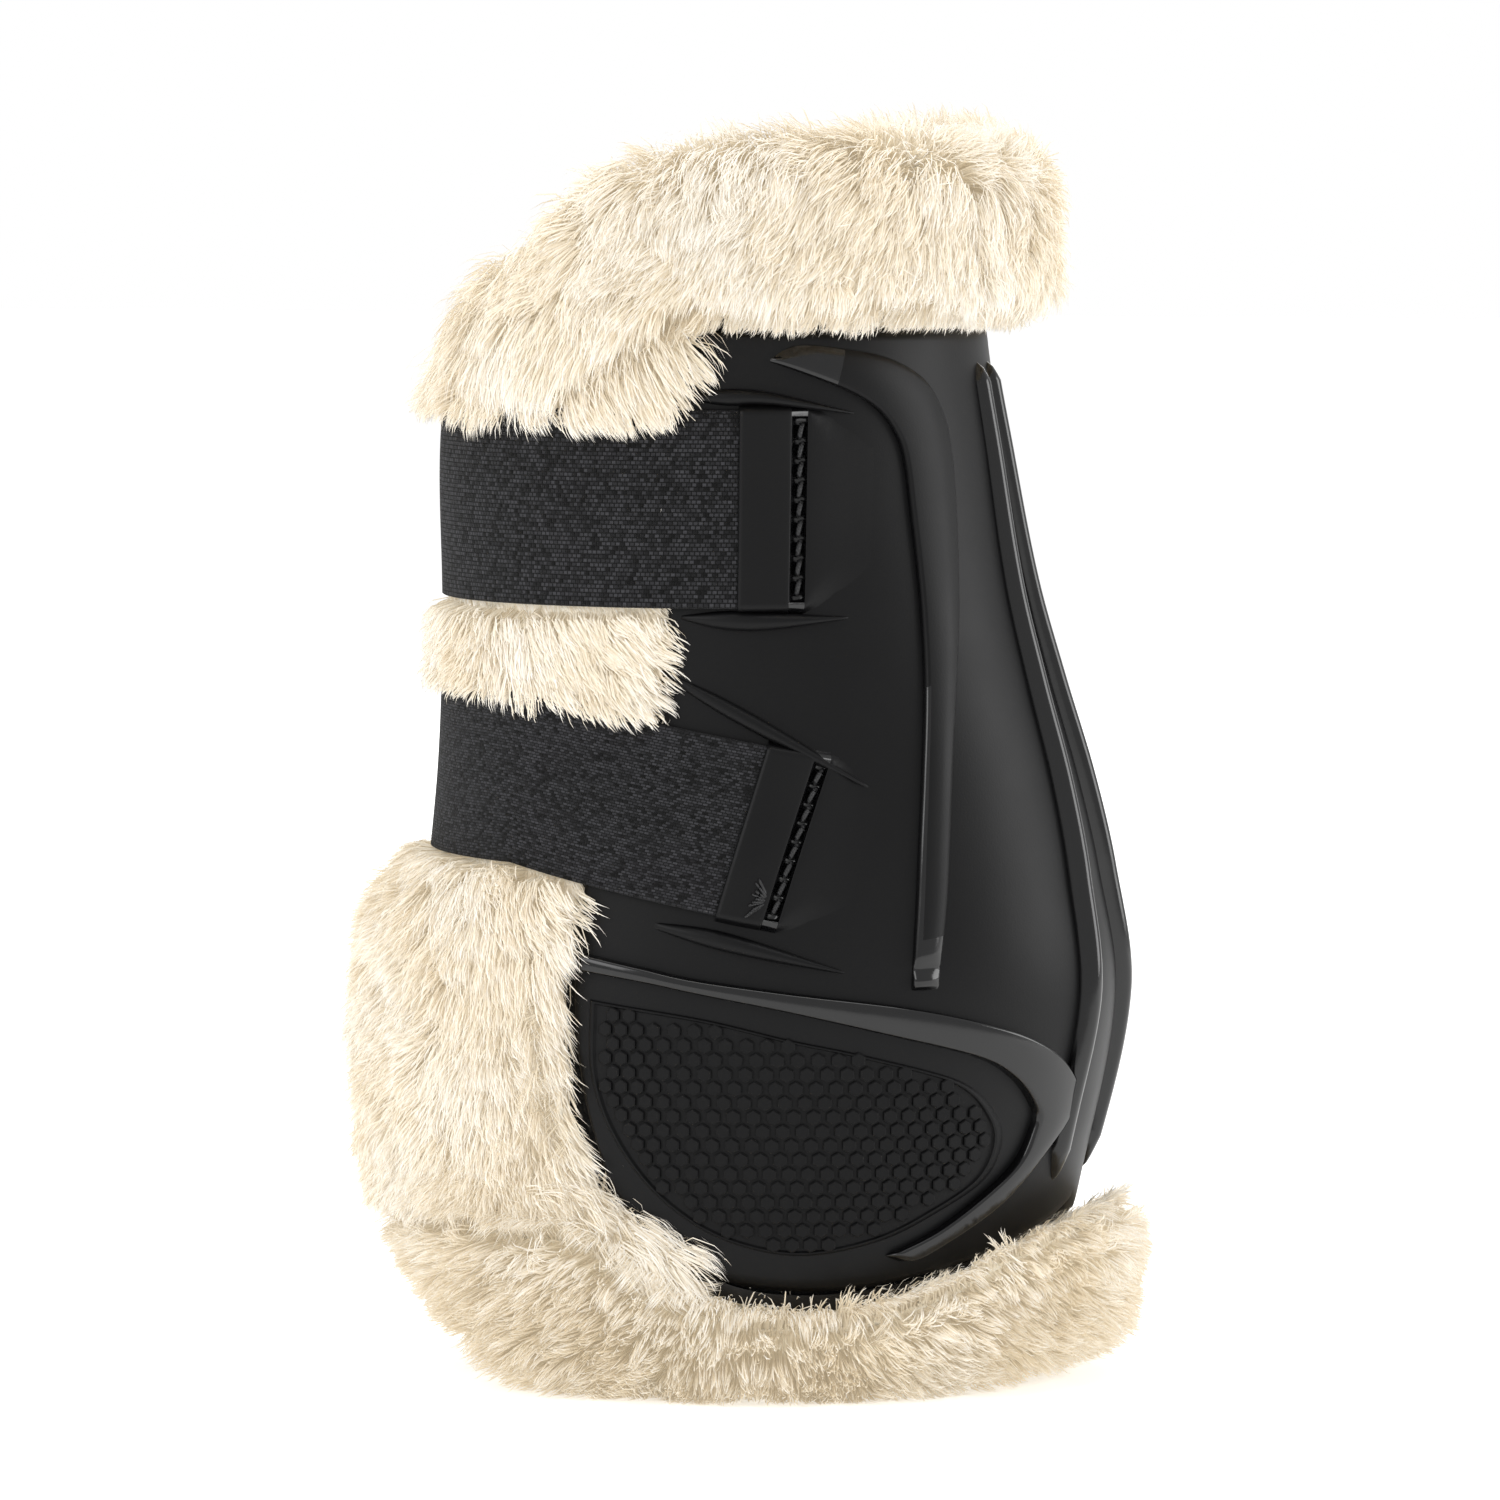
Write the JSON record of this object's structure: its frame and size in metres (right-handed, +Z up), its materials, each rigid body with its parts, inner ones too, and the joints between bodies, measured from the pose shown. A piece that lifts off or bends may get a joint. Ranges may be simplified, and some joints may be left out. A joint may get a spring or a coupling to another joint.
{
  "type": "tendon boot",
  "caption": "Fetlock-height tendon boot: moulded ribbed shell over a folded-out fur lining, with elastic straps that wrap the open front and close by hook and loop.",
  "frame": {"origin": "on the leg's axis, in the plane that the boot stands on", "axes": "+Z up the leg, +X to the tendons at the back, -Y to the side where the straps are anchored, +Y to the side where they close"},
  "size_m": [0.1224, 0.1002, 0.1955],
  "materials": {
    "moulded_shell": "satin black moulded TPU with polished ribs",
    "strike_pad": "matte black moulded TPU with a hexagon grain",
    "knit": "black knitted fabric over foam",
    "binding": "black woven binding tape",
    "fur": "cream deep-pile imitation fur",
    "elastic": "black woven elastic",
    "hook_tape": "black hook tape",
    "loop_tape": "black loop tape",
    "thread": "black sewing thread"
  },
  "bodies": {
    "boot": {"shell": "moulded_shell", "strike_pad_anchor_side": "strike_pad", "strike_pad_closure_side": "strike_pad", "backing": "knit", "top_binding": "binding", "bottom_binding": "binding", "fur_lining": "fur", "top_fur_roll": "fur", "bottom_fur_roll": "fur", "front_flap_anchor_side": "fur", "front_flap_closure_side": "fur", "upper_strap_root": "elastic", "lower_strap_root": "elastic", "upper_loop_patch": "loop_tape", "lower_loop_patch": "loop_tape", "upper_anchor_stitching": "thread", "lower_anchor_stitching": "thread"},
    "upper_strap_near": {"upper_strap_near": "elastic"},
    "upper_strap_far": {"upper_strap_far": "elastic", "upper_hook_patch": "hook_tape", "upper_hook_stitching": "thread"},
    "lower_strap_near": {"lower_strap_near": "elastic"},
    "lower_strap_far": {"lower_strap_far": "elastic", "lower_hook_patch": "hook_tape", "lower_hook_stitching": "thread"}
  },
  "joints": [
    {"name": "upper_strap_swing", "type": "hinge", "parent": "boot", "child": "upper_strap_near", "pos_m": [0.0112, -0.0417, 0.1375], "axis": [0, 0, 1], "range_deg": [0, 44]},
    {"name": "upper_strap_peel", "type": "hinge", "parent": "upper_strap_near", "child": "upper_strap_far", "pos_m": [-0.04705, 0, 0.1375], "axis": [0, 0, 1], "range_deg": [0, 110]},
    {"name": "lower_strap_swing", "type": "hinge", "parent": "boot", "child": "lower_strap_near", "pos_m": [0.0092, -0.04705, 0.0755], "axis": [0.2611, 0.1645, 0.9512], "range_deg": [0, 11]},
    {"name": "lower_strap_peel", "type": "hinge", "parent": "lower_strap_near", "child": "lower_strap_far", "pos_m": [-0.0484, 0, 0.0835], "axis": [0.0621, 0, 0.9981], "range_deg": [0, 110]}
  ],
  "couplings": [
    {"joint": "upper_strap_swing", "follows": "upper_strap_peel", "ratio": 0.4},
    {"joint": "lower_strap_swing", "follows": "lower_strap_peel", "ratio": 0.1}
  ]
}
